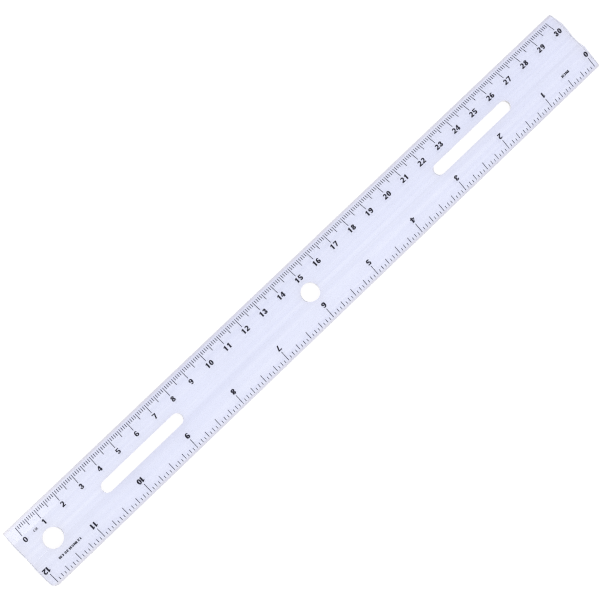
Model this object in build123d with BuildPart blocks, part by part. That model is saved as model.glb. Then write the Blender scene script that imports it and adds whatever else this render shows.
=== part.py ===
from build123d import *
import math
import os

# ---------------------------------------------------------------------------
# One-piece clear plastic rule, 30 cm on one long edge and 12 in on the other.
# Frame: X along the rule, Y across it (+Y is the centimetre edge), Z up,
# origin in the middle of the flat underside. Millimetres throughout.
# The printing is thin raised ink, one piece per kind of tick or lettering.
# ---------------------------------------------------------------------------

# Body outline
body_length = 309.6
body_width = 30.0
half_length = body_length / 2
half_width = body_width / 2
corner_cm_start = 0.6       # centimetre edge, zero end
corner_cm_end = 1.0         # centimetre edge, 30 end
corner_inch_start = 0.8     # inch edge, zero end
corner_inch_end = 3.0       # inch edge, 12 end

# Cross-section (Y, Z), from the centimetre edge to the inch edge
edge_height = 0.95          # height of both long edges
ridge_height = 4.0          # height of the two crests
shoulder_height = 3.5       # height where the channel begins, centimetre side
floor_height = 2.2          # height of the channel floor
cm_ridge_y = 8.4
shoulder_y = 5.3
floor_half_width = 1.9
inch_ridge_y = -5.0

lip_radius = 0.45           # rounding of the top of both long edges
crest_radius = 0.7          # rounding of the two crests
channel_radius = 1.2        # rounding of the lines inside the channel
foot_chamfer = 0.15         # edge break around the underside

# Openings
scale_mid_x = 0.45          # middle of both scales along X
hang_hole_radius = 4.3
hang_hole_x = scale_mid_x - 141.9
middle_hole_radius = 4.0
middle_hole_x = scale_mid_x
slot_mid_x = 0.3            # middle of the pair of slots
slot_length = 43.2
slot_width = 5.2
slot_offset = 93.45         # slot centres either side of that middle

cutter_height = 2 * ridge_height    # tall enough to pass right through the body
tolerance = 1e-6                    # for picking corners by their coordinates

# Scales
inch = 25.4
cm_count = 30
inch_count = 12
half_cm_range = cm_count * 10 / 2
half_inch_range = inch_count * inch / 2

# Ticks: distance of their outer ends from the long edge, lengths in plan, widths
ink_thickness = 0.03
cm_tick_start = 1.65
mm_tick_length = 1.62
half_cm_tick_length = 3.18
cm_tick_length = 4.45
mm_tick_width = 0.29
cm_tick_width = 0.28        # centimetres and half centimetres

inch_tick_start = 1.15
sixteenth_length = 1.17
eighth_length = 1.64
quarter_length = 2.58
half_inch_length = 3.45
inch_tick_length = 4.43
sixteenth_width = 0.28      # sixteenths, eighths and quarters
inch_tick_width = 0.29      # inches and half inches

# Lettering: cap heights, and distances of the middle of a line from the edge
cm_numeral_height = 2.3
cm_numeral_centre = 7.95
teens_shift = 0.15          # 10 to 19 sit this far past their tick
twenties_shift = 0.4        # 20 to 30 sit this far past their tick
cm_label_height = 1.1
cm_label_centre = cm_numeral_centre - 0.1
cm_label_at = 5.4           # along the centimetre scale

inch_numeral_height = 2.45
inch_numeral_centre = 7.4
inch_numeral_shift = 0.2    # 0 to 9 sit this far before their tick
inch_pair_pitch = 0.84      # 10 to 12 are set close
inch_label_height = 1.15
inch_label_at = 0.475 * inch    # along the inch scale
note_height = 1.05
note_at = 11.5 * inch           # along the inch scale

numeral_stretch = 1.12      # numerals are a little wider than drawn
label_stretch = 1.2         # the small capitals are wide
note_stretch = 1.33

# Upright and level stroke widths as shares of the cap height
light_weight = (0.245, 0.185)
bold_weight = (0.28, 0.205)
small_weight = (0.34, 0.28)
smallest_counter = 0.12     # least opening of a ring, as a share of its size

# Room a character takes up, as a share of the cap height
advances = {"I": 0.38, "M": 1.02, "N": 0.88, "H": 0.9, "C": 0.86, " ": 0.26}
digit_advance = 0.74

# ---------------------------------------------------------------------------
# Planes carrying the printing
# ---------------------------------------------------------------------------
cm_slope = math.atan2(ridge_height - edge_height, half_width - cm_ridge_y)
shoulder_slope = math.atan2(ridge_height - shoulder_height, cm_ridge_y - shoulder_y)
inch_slope = math.atan2(ridge_height - edge_height, half_width + inch_ridge_y)

cm_bevel = Plane(
    origin=(scale_mid_x, half_width, edge_height),
    x_dir=(1, 0, 0),
    z_dir=(0, math.sin(cm_slope), math.cos(cm_slope)),
)
cm_shoulder = Plane(
    origin=(scale_mid_x, cm_ridge_y, ridge_height),
    x_dir=(1, 0, 0),
    z_dir=(0, -math.sin(shoulder_slope), math.cos(shoulder_slope)),
)
# Read from the other side, so its zero lies over the centimetre 30 end
inch_bevel = Plane(
    origin=(scale_mid_x, -half_width, edge_height),
    x_dir=(-1, 0, 0),
    z_dir=(0, -math.sin(inch_slope), math.cos(inch_slope)),
)


def on_shoulder(distance):
    """Local y on the shoulder at a plan distance in from the centimetre edge."""
    return -(distance - (half_width - cm_ridge_y)) / math.cos(shoulder_slope)


def on_inch_bevel(distance):
    """Local y on the inch bevel at a plan distance in from the inch edge."""
    return -distance / math.cos(inch_slope)


# ---------------------------------------------------------------------------
# Moulded body
# ---------------------------------------------------------------------------
def make_body():
    with BuildPart() as body:
        with BuildSketch(Plane.YZ.offset(-half_length)) as section:
            with BuildLine():
                Polyline(
                    (half_width, 0),
                    (half_width, edge_height),
                    (cm_ridge_y, ridge_height),
                    (shoulder_y, shoulder_height),
                    (floor_half_width, floor_height),
                    (-floor_half_width, floor_height),
                    (inch_ridge_y, ridge_height),
                    (-half_width, edge_height),
                    (-half_width, 0),
                    close=True,
                )
            make_face()
            lips = [v for v in section.vertices()
                    if abs(abs(v.X) - half_width) < tolerance and v.Y > edge_height / 2]
            fillet(lips, lip_radius)
            crests = [v for v in section.vertices() if abs(v.Y - ridge_height) < tolerance]
            fillet(crests, crest_radius)
            bends = [v for v in section.vertices()
                     if abs(v.Y - floor_height) < tolerance
                     or abs(v.Y - shoulder_height) < tolerance]
            fillet(bends, channel_radius)
        extrude(amount=body_length)
        # Outline with its four corner radii
        with BuildSketch(Plane.XY) as outline:
            Rectangle(body_length, body_width)
            for x_side, y_side, radius in (
                (-1, 1, corner_cm_start),
                (1, 1, corner_cm_end),
                (1, -1, corner_inch_start),
                (-1, -1, corner_inch_end),
            ):
                corner = [v for v in outline.vertices()
                          if abs(v.X - x_side * half_length) < tolerance
                          and abs(v.Y - y_side * half_width) < tolerance]
                fillet(corner, radius)
        extrude(amount=cutter_height, mode=Mode.INTERSECT)
        # Hanging hole, middle hole and the two long slots
        with BuildSketch(Plane.XY):
            with Locations((hang_hole_x, 0)):
                Circle(hang_hole_radius)
            with Locations((middle_hole_x, 0)):
                Circle(middle_hole_radius)
            with Locations((slot_mid_x - slot_offset, 0), (slot_mid_x + slot_offset, 0)):
                SlotOverall(slot_length, slot_width)
        extrude(amount=cutter_height, mode=Mode.SUBTRACT)
        chamfer(body.faces().sort_by(Axis.Z)[0].edges(), foot_chamfer)
    return body.part


# ---------------------------------------------------------------------------
# Plain block numerals and capitals, drawn from arcs and straight strokes
# ---------------------------------------------------------------------------
def ring(y, x_radius, y_radius, x_stroke, y_stroke):
    """An elliptical ring centred at (0, y)."""
    with BuildSketch(mode=Mode.PRIVATE) as sketch:
        with Locations((0, y)):
            Ellipse(x_radius, y_radius)
            Ellipse(max(x_radius - x_stroke, smallest_counter * x_radius),
                    max(y_radius - y_stroke, smallest_counter * y_radius),
                    mode=Mode.SUBTRACT)
    return sketch.sketch


def polygon(points):
    with BuildSketch(mode=Mode.PRIVATE) as sketch:
        with BuildLine():
            Polyline(*points, close=True)
        make_face()
    return sketch.sketch


def draw_glyph(char, cap_height, stretch, weight):
    """A character centred on the origin.

    Its points and radii are shares of the cap height, before the stretch along x.
    """
    x_scale = cap_height * stretch
    stem, bar = weight      # upright and level stroke widths

    def bowl(y, x_radius, y_radius):
        return ring(y * cap_height, x_radius * x_scale, y_radius * cap_height,
                    stem * x_scale, bar * cap_height)

    def poly(*points):
        return polygon([(x * x_scale, y * cap_height) for x, y in points])

    with BuildSketch() as drawing:
        if char == "0":
            add(bowl(0, 0.33, 0.5))
        elif char == "1":
            add(poly((0.19 - stem, -0.5), (0.19, -0.5), (0.19, 0.5), (0.02, 0.5),
                     (-0.22, 0.34), (-0.22, 0.14), (0.19 - stem, 0.25)))
        elif char == "2":
            add(bowl(0.2, 0.31, 0.3))
            add(poly((-0.45, 0.25), (0, 0.25), (0.08, 0.1), (0.34, 0.13),
                     (0.34, -0.5), (-0.45, -0.5)), mode=Mode.SUBTRACT)
            add(poly((0.308, 0.17), (0.07, 0.17), (0.03, 0.02), (-0.32, -0.31),
                     (-0.32, -0.5), (0.32, -0.5), (0.32, -0.5 + bar), (0.03, -0.5 + bar),
                     (0.26, -0.05)))
        elif char == "3":
            add(bowl(0.245, 0.29, 0.255))
            add(bowl(-0.215, 0.32, 0.285))
            add(poly((-0.45, 0.2), (-0.06, 0.2), (-0.06, -0.14), (-0.45, -0.14)),
                mode=Mode.SUBTRACT)
        elif char == "4":
            add(poly((0.23 - stem, -0.5), (0.23, -0.5), (0.23, 0.5), (-0.04, 0.5),
                     (-0.36, -0.11), (-0.36, -0.29), (0.23 - stem, -0.29)))
            add(poly((0.2, -0.29), (0.36, -0.29), (0.36, -0.12), (0.2, -0.12)))
            add(poly((0.23 - stem, -0.12), (0.23 - stem, 0.24), (-0.18, -0.12)),
                mode=Mode.SUBTRACT)
        elif char == "5":
            add(bowl(-0.17, 0.32, 0.33))
            add(poly((-0.45, 0.02), (-0.12, 0.02), (-0.12, -0.27), (-0.45, -0.27)),
                mode=Mode.SUBTRACT)
            add(poly((-0.28, 0.5), (0.29, 0.5), (0.29, 0.5 - bar), (-0.08, 0.5 - bar),
                     (-0.1, 0.04), (-0.31, -0.01)))
        elif char in "69":
            # The 9 is the 6 turned upside down
            with BuildSketch(mode=Mode.PRIVATE) as six:
                add(bowl(0, 0.33, 0.5))
                add(poly((0.02, 0.3), (0.5, 0.22), (0.5, -0.6), (0.02, -0.6)),
                    mode=Mode.SUBTRACT)
                add(bowl(-0.19, 0.33, 0.31))
            add(six.sketch, rotation=0 if char == "6" else 180)
        elif char == "7":
            add(poly((-0.32, 0.5), (0.33, 0.5), (0.33, 0.34), (0.06, -0.5),
                     (-0.18, -0.5), (0.08, 0.5 - bar), (-0.32, 0.5 - bar)))
        elif char == "8":
            add(bowl(0.245, 0.3, 0.255))
            add(bowl(-0.215, 0.33, 0.285))
        elif char == "C":
            add(bowl(0, 0.37, 0.5))
            add(poly((0.08, 0.17), (0.6, 0.17), (0.6, -0.17), (0.08, -0.17)),
                mode=Mode.SUBTRACT)
        elif char == "H":
            with Locations((-0.25 * x_scale, 0), (0.25 * x_scale, 0)):
                Rectangle(stem * x_scale, cap_height)
            Rectangle(0.5 * x_scale, bar * cap_height)
        elif char == "I":
            Rectangle(stem * x_scale, cap_height)
        elif char == "M":
            add(poly((-0.47, -0.5), (-0.2, -0.5), (-0.2, 0.02), (-0.1, -0.5),
                     (0.1, -0.5), (0.2, 0.02), (0.2, -0.5), (0.47, -0.5),
                     (0.47, 0.5), (0.14, 0.5), (0, 0), (-0.14, 0.5),
                     (-0.47, 0.5)))
        elif char == "N":
            add(poly((-0.41, -0.5), (-0.12, -0.5), (-0.12, 0.02), (0.1, -0.5),
                     (0.41, -0.5), (0.41, 0.5), (0.12, 0.5), (0.12, -0.02),
                     (-0.1, 0.5), (-0.41, 0.5)))
    return drawing.sketch


def spread(text, cap_height, pitch):
    """Characters of a word, each with its centre's offset from the word's middle."""
    steps = [advances.get(char, digit_advance) * cap_height * pitch for char in text]
    start = -sum(steps) / 2
    placed = []
    for char, step in zip(text, steps):
        if char != " ":
            placed.append((char, start + step / 2))
        start += step
    return placed


# ---------------------------------------------------------------------------
# Ink pieces
# ---------------------------------------------------------------------------
def make_lettering(plane, words, y, cap_height, stretch, weight, pitch=None):
    """Words, given as (text, middle x), on one line of a plane.

    The pitch stretches the spacing and follows the letters unless given.
    """
    glyphs = {char: draw_glyph(char, cap_height, stretch, weight)
              for text, _ in words for char in text if char != " "}
    with BuildPart() as ink:
        with BuildSketch(plane):
            for text, middle_x in words:
                for char, offset in spread(text, cap_height, pitch or stretch):
                    with Locations((middle_x + offset, y)):
                        add(glyphs[char])
        extrude(amount=ink_thickness)
    return ink.part


def make_ticks(plane, slope, positions, start, length, width):
    """Ticks on a bevel; start and length are measured in plan from its edge."""
    y = -(start + length / 2) / math.cos(slope)
    with BuildPart() as ink:
        with BuildSketch(plane):
            with Locations(*[(x, y) for x in positions]):
                Rectangle(width, length / math.cos(slope))
        extrude(amount=ink_thickness)
    return ink.part


def make_cm_numerals(first, last, shift, weight):
    """Part of the centimetre numerals, on the shoulder."""
    words = [(str(n), 10 * n - half_cm_range + shift) for n in range(first, last + 1)]
    return make_lettering(cm_shoulder, words, on_shoulder(cm_numeral_centre),
                          cm_numeral_height, numeral_stretch, weight)


def make_inch_numerals(first, last):
    """Part of the inch numerals, on the inch bevel."""
    words = [(str(n), inch * n - half_inch_range - (inch_numeral_shift if n < 10 else 0))
             for n in range(first, last + 1)]
    return make_lettering(inch_bevel, words, on_inch_bevel(inch_numeral_centre),
                          inch_numeral_height, numeral_stretch, bold_weight,
                          pitch=inch_pair_pitch)


# Piece, ticks in millimetres from zero, length, width
mm_count = cm_count * 10
cm_tick_table = (
    ("ink_mm_ticks", [k for k in range(mm_count + 1) if k % 5], mm_tick_length, mm_tick_width),
    ("ink_half_cm_ticks", range(5, mm_count, 10), half_cm_tick_length, cm_tick_width),
    ("ink_cm_ticks", range(0, mm_count + 1, 10), cm_tick_length, cm_tick_width),
)
# Piece, first tick and step in sixteenths of an inch, length, width
inch_tick_table = (
    ("ink_sixteenth_ticks", 1, 2, sixteenth_length, sixteenth_width),
    ("ink_eighth_ticks", 2, 4, eighth_length, sixteenth_width),
    ("ink_quarter_ticks", 4, 8, quarter_length, sixteenth_width),
    ("ink_half_inch_ticks", 8, 16, half_inch_length, inch_tick_width),
    ("ink_inch_ticks", 0, 16, inch_tick_length, inch_tick_width),
)

parts = {"ruler_body": make_body()}

# Centimetre scale
for name, millimetres, length, width in cm_tick_table:
    positions = [k - half_cm_range for k in millimetres]
    parts[name] = make_ticks(cm_bevel, cm_slope, positions, cm_tick_start, length, width)

parts["ink_cm_numerals_0_9"] = make_cm_numerals(0, 9, 0, light_weight)
parts["ink_cm_numerals_10_19"] = make_cm_numerals(10, 19, teens_shift, bold_weight)
parts["ink_cm_numerals_20_30"] = make_cm_numerals(20, cm_count, twenties_shift, bold_weight)
parts["ink_cm_label"] = make_lettering(
    cm_shoulder, [("CM", cm_label_at - half_cm_range)], on_shoulder(cm_label_centre),
    cm_label_height, stretch=1.0, weight=small_weight)

# Inch scale
for name, first, step, length, width in inch_tick_table:
    positions = [k * inch / 16 - half_inch_range
                 for k in range(first, inch_count * 16 + 1, step)]
    parts[name] = make_ticks(inch_bevel, inch_slope, positions, inch_tick_start, length, width)

parts["ink_inch_numerals_0_3"] = make_inch_numerals(0, 3)
parts["ink_inch_numerals_4_7"] = make_inch_numerals(4, 7)
parts["ink_inch_numerals_8_12"] = make_inch_numerals(8, inch_count)
parts["ink_inch_label"] = make_lettering(
    inch_bevel, [("INCH", inch_label_at - half_inch_range)],
    on_inch_bevel(inch_numeral_centre), inch_label_height, label_stretch, small_weight)
parts["ink_size_note"] = make_lettering(
    inch_bevel, [("12 INCH 30 CM", note_at - half_inch_range)],
    on_inch_bevel(inch_numeral_centre), note_height, note_stretch, small_weight)

# Labels and files
os.makedirs("parts", exist_ok=True)
for name, part in parts.items():
    part.label = name
    export_step(part, f"parts/{name}.step")
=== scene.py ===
"""A clear, faintly lavender plastic ruler with dark stamped markings, on a pale table.

The ruler lies flat: its length runs along X with the 30 cm end at +X, its width along Y,
and +Z is up. Units are metres unless a name says otherwise.
"""

import math

import bpy
from mathutils import Matrix, Vector


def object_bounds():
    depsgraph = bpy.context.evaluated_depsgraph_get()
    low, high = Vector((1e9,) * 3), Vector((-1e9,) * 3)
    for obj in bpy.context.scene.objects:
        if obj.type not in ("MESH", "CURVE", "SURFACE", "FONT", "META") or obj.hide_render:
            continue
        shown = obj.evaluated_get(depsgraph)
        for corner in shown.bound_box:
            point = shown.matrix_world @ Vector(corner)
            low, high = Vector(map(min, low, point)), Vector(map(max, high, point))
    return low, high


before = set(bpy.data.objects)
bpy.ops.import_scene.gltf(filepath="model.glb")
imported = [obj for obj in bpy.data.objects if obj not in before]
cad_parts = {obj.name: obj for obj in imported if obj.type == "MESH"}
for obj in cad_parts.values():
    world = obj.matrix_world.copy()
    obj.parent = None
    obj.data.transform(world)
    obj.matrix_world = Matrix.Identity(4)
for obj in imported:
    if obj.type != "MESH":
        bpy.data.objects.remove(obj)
cad_lo, cad_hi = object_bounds()
scene = bpy.context.scene

WHITE = (1, 1, 1, 1)

# Distances in from each long edge between which the painted shade along the edge fades in from none
# to full
EDGE_SHADE_START, EDGE_SHADE_FULL = 0.0015, 0.0008

TABLE_HALF = 6.0     # half the side of the square table top
TABLE_GAP = 0.00005  # clearance between the ruler and the table


# ---------------------------------------------------------------------------
# Node helpers. "at" is a node's place in the node editor.
# ---------------------------------------------------------------------------
def add_node(tree, kind, at, inputs=None, **props):
    """Add a shader node and return its outputs. An input is a value or a socket to link."""
    node = tree.nodes.new("ShaderNode" + kind)
    node.location = at
    for name, value in props.items():
        setattr(node, name, value)
    for socket, value in (inputs or {}).items():
        if isinstance(value, bpy.types.NodeSocket):
            tree.links.new(value, node.inputs[socket])
        else:
            node.inputs[socket].default_value = value
    return node.outputs


def add_noise(tree, at, vector, scale, detail):
    return add_node(tree, "TexNoise", at,
                    {"Vector": vector, "Scale": scale, "Detail": detail})["Fac"]


def add_stretched_noise(tree, at, vector, stretch, detail, turn=0.0):
    """Noise with its own frequency along each axis, turned about Z by an angle in radians."""
    x, y = at
    mapped = add_node(tree, "Mapping", at,
                      {"Vector": vector, "Rotation": (0, 0, turn), "Scale": stretch})
    return add_noise(tree, (x + 200, y), mapped["Vector"], scale=1.0, detail=detail)


def add_range(tree, at, value, source=(0.0, 1.0), target=(0.0, 1.0), **props):
    """Map the source range onto the target range."""
    return add_node(tree, "MapRange", at, {
        "Value": value,
        "From Min": source[0], "From Max": source[1],
        "To Min": target[0], "To Max": target[1],
    }, **props)["Result"]


def add_ramp(tree, at, factor, stops):
    """Color ramp through (position, RGBA) stops, listed in order of position."""
    color = add_node(tree, "ValToRGB", at, {"Fac": factor})["Color"]
    elements = color.node.color_ramp.elements
    elements[0].position, elements[0].color = stops[0]
    elements[1].position, elements[1].color = stops[-1]
    for position, rgba in stops[1:-1]:
        elements.new(position).color = rgba
    return color


def mix_colors(tree, at, factor, a, b, **props):
    return add_node(tree, "Mix", at, {"Factor": factor, "A": a, "B": b},
                    data_type="RGBA", **props)["Result"]


def multiply_colors(tree, at, a, b):
    return mix_colors(tree, at, 1.0, a, b, blend_type="MULTIPLY")


def add_bump(tree, at, height, strength, distance, **inputs):
    return add_node(tree, "Bump", at, {
        "Height": height, "Strength": strength, "Distance": distance, **inputs,
    })["Normal"]


def new_material(name):
    """Return an empty node material and its tree."""
    mat = bpy.data.materials.new(name)
    mat.use_nodes = True
    mat.node_tree.nodes.clear()
    return mat, mat.node_tree


def object_coords(tree, at):
    return add_node(tree, "TexCoord", at)["Object"]


def output_see_through(tree, x, surface, filter_color):
    """Output the surface, but let shadow and diffuse rays straight through, filtered."""
    path = add_node(tree, "LightPath", (x, 420))
    clear = add_node(tree, "BsdfTransparent", (x, -420), {"Color": filter_color})["BSDF"]
    for step, ray in enumerate(("Is Shadow Ray", "Is Diffuse Ray"), start=1):
        surface = add_node(tree, "MixShader", (x + 200 * step, 0),
                           {"Fac": path[ray], 1: surface, 2: clear})["Shader"]
    add_node(tree, "OutputMaterial", (x + 660, 0), {"Surface": surface})


# ---------------------------------------------------------------------------
# Clear, faintly lavender moulded plastic
# ---------------------------------------------------------------------------
def plastic_tint(tree, coords):
    """Lavender tint with flow marks, streaks, a drift along the ruler with a painted glare
    highlight at the 0 end, and painted shade along both long edges.
    """
    # Slow, weak variation along the moulding flow
    flow = add_stretched_noise(tree, (-1280, 260), coords, stretch=(9.0, 55.0, 55.0), detail=2.0)
    flow_tint = add_ramp(tree, (-860, 260), flow, stops=(
        (0.3, (0.742, 0.760, 0.879, 1)),
        (0.7, (0.768, 0.784, 0.893, 1)),
    ))

    # Fine streaks running along the ruler
    streak = add_stretched_noise(tree, (-1280, 520), coords, stretch=(7.0, 620.0, 0.0), detail=2.0)
    streak_tint = add_ramp(tree, (-860, 520), streak, stops=(
        (0.36, (0.962, 0.962, 0.972, 1)),
        (0.66, (1.022, 1.02, 1.0, 1)),
    ))

    # The tint deepens slowly toward the 30 cm end; near the 0 end it is painted paler and greener,
    # a painted highlight of the lamp glare there
    place = add_node(tree, "SeparateXYZ", (-860, 760), {"Vector": coords})
    along = add_range(tree, (-680, 980), place["X"], source=(cad_lo.x, cad_hi.x))
    along_tint_and_glare = add_ramp(tree, (-460, 980), along, stops=(
        (0.0, (1.03, 1.024, 1.0, 1)),
        (0.16, WHITE),
        (0.72, WHITE),
        (1.0, (0.966, 0.966, 0.982, 1)),
    ))

    # Painted shade: both long edges are painted greyer and darker than the rest
    across = add_node(tree, "Math", (-680, 760), {0: place["Y"]}, operation="ABSOLUTE")["Value"]
    edge_shade = add_range(tree, (-500, 760), across,
                       source=(cad_hi.y - EDGE_SHADE_START, cad_hi.y - EDGE_SHADE_FULL),
                       interpolation_type="SMOOTHSTEP")
    edge_shade_tint = mix_colors(tree, (-260, 760), edge_shade, a=WHITE, b=(0.928, 0.898, 0.862, 1))

    streaked = multiply_colors(tree, (-520, 400), flow_tint, streak_tint)
    deepened = multiply_colors(tree, (-200, 560), streaked, along_tint_and_glare)
    return multiply_colors(tree, (-60, 500), deepened, edge_shade_tint)


def plastic_normal(tree, coords):
    """Shallow moulding waviness plus fine handling scratches."""
    wave = add_stretched_noise(tree, (-1280, -120), coords,
                               stretch=(25.0, 90.0, 90.0), detail=1.5)
    scratch = add_stretched_noise(tree, (-1280, -420), coords,
                                  stretch=(120.0, 5200.0, 1200.0), detail=3.0, turn=0.35)
    # Only the peaks of the noise become scratches
    scratch_cut = add_range(tree, (-860, -420), scratch, source=(0.64, 0.74))
    wavy = add_bump(tree, (-420, -160), wave, strength=0.25, distance=0.00012)
    return add_bump(tree, (-180, -260), scratch_cut, strength=0.05, distance=0.00001,
                    Normal=wavy)


def plastic_levelness(tree):
    """0 on the steep moulded walls, 1 on the level faces."""
    geometry = add_node(tree, "NewGeometry", (-860, -620))
    axes = add_node(tree, "SeparateXYZ", (-680, -620), {"Vector": geometry["True Normal"]})
    upright = add_node(tree, "Math", (-500, -620), {0: axes["Z"]}, operation="ABSOLUTE")["Value"]
    return add_range(tree, (-320, -620), upright, source=(0.35, 0.85))


def plastic_roughness(tree, coords, level):
    """Polished, a little duller where the plastic is handled, matt on the steep walls."""
    handling = add_noise(tree, (-860, 20), coords, scale=60.0, detail=4.0)
    polished = add_range(tree, (-600, 20), handling, target=(0.015, 0.06))
    matt = 0.32
    return add_node(tree, "Mix", (-300, 20), {"Factor": level, "A": matt, "B": polished})["Result"]


def clear_plastic():
    mat, tree = new_material("clear_body")
    coords = object_coords(tree, (-1500, 0))
    level = plastic_levelness(tree)

    # Steep walls are paler and less clear than the level faces
    tint = mix_colors(tree, (160, 260), level,
                      a=(0.90, 0.885, 0.90, 1), b=plastic_tint(tree, coords))
    transmission = add_range(tree, (160, -620), level, target=(0.45, 1.0))
    plastic = add_node(tree, "BsdfPrincipled", (420, 0), {
        "Base Color": tint,
        "Roughness": plastic_roughness(tree, coords, level),
        "IOR": 1.49,
        "Normal": plastic_normal(tree, coords),
        "Specular IOR Level": 0.5,
        "Transmission Weight": transmission,
    })["BSDF"]

    # Light from the lamps and the table passes straight through the plastic,
    # but steep walls turn part of it away, so they throw a faint line
    passed = mix_colors(tree, (260, -520), level,
                        a=(0.87, 0.84, 0.81, 1), b=(0.962, 0.966, 0.992, 1))
    output_see_through(tree, 420, plastic, passed)
    return mat


# ---------------------------------------------------------------------------
# Hot-stamped ink: slightly uneven coverage between a dark and a light RGB color
# ---------------------------------------------------------------------------
def stamped_ink(name, dark, light):
    mat, tree = new_material(name)
    coords = object_coords(tree, (-1000, 0))
    blot = add_noise(tree, (-800, 120), coords, scale=900.0, detail=5.0)
    grain = add_noise(tree, (-800, -180), coords, scale=6000.0, detail=3.0)
    ink = add_node(tree, "BsdfPrincipled", (200, 0), {
        "Base Color": add_ramp(tree, (-560, 120), blot,
                               stops=((0.35, (*dark, 1)), (0.75, (*light, 1)))),
        "Roughness": add_range(tree, (-560, -60), blot, target=(0.38, 0.62)),
        "Normal": add_bump(tree, (-200, -200), grain, strength=0.2, distance=0.000008),
        "Specular IOR Level": 0.2,
    })["BSDF"]
    # The film throws only a faint shadow on the table under the plastic
    output_see_through(tree, 200, ink, filter_color=(0.8, 0.8, 0.82, 1))
    return mat


def assign_materials():
    body = clear_plastic()
    # Numerals and ticks are near black with a navy cast
    numeral_ink = stamped_ink("numeral_ink",
                              dark=(0.006, 0.006, 0.014), light=(0.018, 0.018, 0.035))
    tick_ink = stamped_ink("tick_ink",
                           dark=(0.012, 0.012, 0.024), light=(0.04, 0.04, 0.065))
    # The tiny unit label beside the centimetre zero is painted grey: a painted highlight of the
    # lamp glare washing it out
    glare_grey_ink = stamped_ink("glare_grey_ink", dark=(0.10, 0.10, 0.13), light=(0.30, 0.30, 0.35))

    for name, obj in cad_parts.items():
        if name == "ruler_body":
            mat = body
        elif "tick" in name:
            mat = tick_ink
        # The unit label gets the grey ink with its painted glare
        elif name == "ink_cm_label":
            mat = glare_grey_ink
        else:
            mat = numeral_ink
        obj.data.materials.clear()
        obj.data.materials.append(mat)


# ---------------------------------------------------------------------------
# Pale table
# ---------------------------------------------------------------------------
def table_material():
    mat, tree = new_material("pale_table")
    coords = object_coords(tree, (-900, 0))
    speck = add_noise(tree, (-700, 0), coords, scale=40.0, detail=6.0)
    color = add_ramp(tree, (-460, 0), speck, stops=(
        (0.0, (0.86, 0.86, 0.86, 1)),
        (1.0, (0.90, 0.90, 0.90, 1)),
    ))
    surface = add_node(tree, "BsdfPrincipled", (200, 0),
                       {"Base Color": color, "Roughness": 0.85})["BSDF"]
    add_node(tree, "OutputMaterial", (500, 0), {"Surface": surface})
    return mat


def build_table():
    mat = table_material()
    mesh = bpy.data.meshes.new("table_top")
    z = cad_lo.z - TABLE_GAP
    corners = [(x * TABLE_HALF, y * TABLE_HALF, z) for x, y in ((-1, -1), (1, -1), (1, 1), (-1, 1))]
    mesh.from_pydata(corners, [], [(0, 1, 2, 3)])
    table = bpy.data.objects.new("table_top", mesh)
    mesh.materials.append(mat)
    scene.collection.objects.link(table)


# ---------------------------------------------------------------------------
# Soft studio light: a pale surround, darker toward the horizon, and softboxes
# ---------------------------------------------------------------------------
SKY_LOW, SKY_HIGH = 0.38, 1.43  # strength at the horizon and from SKY_TOP upward
SKY_TOP = 0.75                  # Z of the unit direction where the sky is full
SKY_FLOOR = -0.03               # Z of the unit direction below which the sky is dark
BACKDROP = 1.25                 # strength of the surround as the camera sees it

# Direction, radius of the full core and of the faded rim (degrees), strength, RGB color
SOFTBOXES = (
    ((-0.128, 0.782, 0.607), 1.2, 3.6, 2.3, (1.0, 0.99, 0.98)),
    ((0.75, -0.45, 0.48), 6.0, 20.0, 0.8, (0.97, 0.98, 1.0)),
)


def add_sky(tree, direction):
    height = add_node(tree, "SeparateXYZ", (-700, 200), {"Vector": direction})["Z"]
    sky = add_range(tree, (-500, 200), height, source=(0.0, SKY_TOP), target=(SKY_LOW, SKY_HIGH))
    # Nothing shines from below the table
    above = add_node(tree, "Math", (-500, 0), {0: height, 1: SKY_FLOOR},
                     operation="GREATER_THAN")["Value"]
    strength = add_node(tree, "Math", (-350, 100), {0: sky, 1: above},
                        operation="MULTIPLY")["Value"]
    return add_node(tree, "Background", (-200, 200),
                    {"Color": (0.985, 0.99, 1.0, 1), "Strength": strength})["Background"]


def add_softbox(tree, y, direction, light, aim, core_deg, rim_deg, strength, color):
    """Add to the light a round, far-away softbox whose edge fades out."""
    closeness = add_node(tree, "VectorMath", (-500, y),
                         {0: direction, 1: Vector(aim).normalized()},
                         operation="DOT_PRODUCT")["Value"]
    fade = add_range(tree, (-300, y), closeness,
                     source=(math.cos(math.radians(rim_deg)), math.cos(math.radians(core_deg))),
                     target=(0.0, strength), interpolation_type="SMOOTHSTEP")
    box = add_node(tree, "Background", (-80, y), {"Color": (*color, 1), "Strength": fade})
    return add_node(tree, "AddShader", (200, y), {0: light, 1: box["Background"]})["Shader"]


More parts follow.
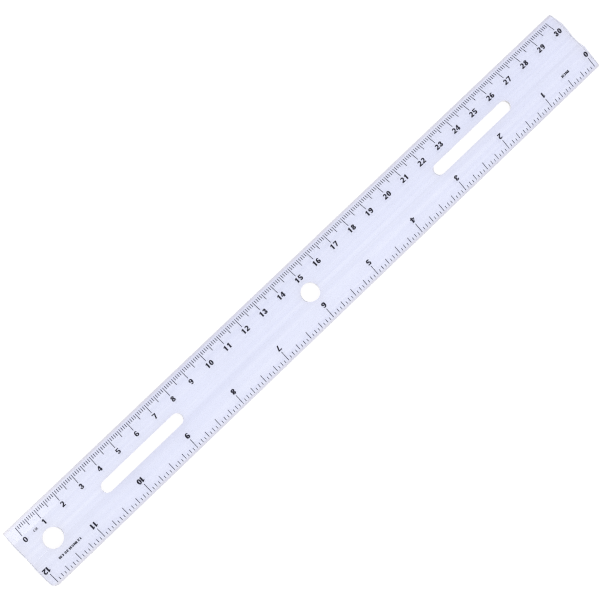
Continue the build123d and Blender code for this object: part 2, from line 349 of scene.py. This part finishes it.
def build_world():
    world = bpy.data.worlds.new("studio")
    scene.world = world
    world.use_nodes = True
    tree = world.node_tree
    tree.nodes.clear()

    direction = add_node(tree, "TexCoord", (-900, 0))["Generated"]
    light = add_sky(tree, direction)
    for index, softbox in enumerate(SOFTBOXES):
        light = add_softbox(tree, -100 - 250 * index, direction, light, *softbox)

    # The backdrop the camera sees beyond the table is plain and pale
    path = add_node(tree, "LightPath", (600, 300))
    backdrop = add_node(tree, "Background", (600, -100), {"Strength": BACKDROP})["Background"]
    seen = add_node(tree, "MixShader", (900, 0),
                    {"Fac": path["Is Camera Ray"], 1: light, 2: backdrop})["Shader"]
    add_node(tree, "OutputWorld", (1200, 0), {"Surface": seen})


# ---------------------------------------------------------------------------
# Camera: high above the ruler, looking almost straight down, rolled about its view axis
# ---------------------------------------------------------------------------
SENSOR_MM = 36.0
FOCAL_MM = 94.889274
CAMERA_PLACE = (-0.08016205, -0.01987166, 0.63963486)
# The camera's own axes in world space: right, up and back
CAMERA_AXES = (
    (0.71815565, -0.69305862, 0.06262763),
    (0.68591909, 0.72017551, 0.10422201),
    (-0.11733485, -0.03189014, 0.99258025),
)


def build_camera():
    lens = bpy.data.cameras.new("camera")
    camera = bpy.data.objects.new("camera", lens)
    scene.collection.objects.link(camera)
    lens.sensor_width = SENSOR_MM
    lens.lens = FOCAL_MM
    lens.clip_start = 0.01
    lens.clip_end = 50.0
    pose = Matrix(CAMERA_AXES).transposed().to_4x4()
    pose.translation = CAMERA_PLACE
    camera.matrix_world = pose
    scene.camera = camera


def set_render():
    scene.view_settings.view_transform = "Standard"
    scene.view_settings.look = "None"
    cycles = scene.cycles
    cycles.filter_width = 1.2
    cycles.use_denoising = True
    cycles.denoising_prefilter = "NONE"
    # Enough bounces to pass through the layers of plastic and ink
    cycles.max_bounces = 24
    cycles.transmission_bounces = 20
    cycles.transparent_max_bounces = 24
    cycles.caustics_refractive = False
    cycles.caustics_reflective = False


assign_materials()
build_table()
build_world()
build_camera()
set_render()
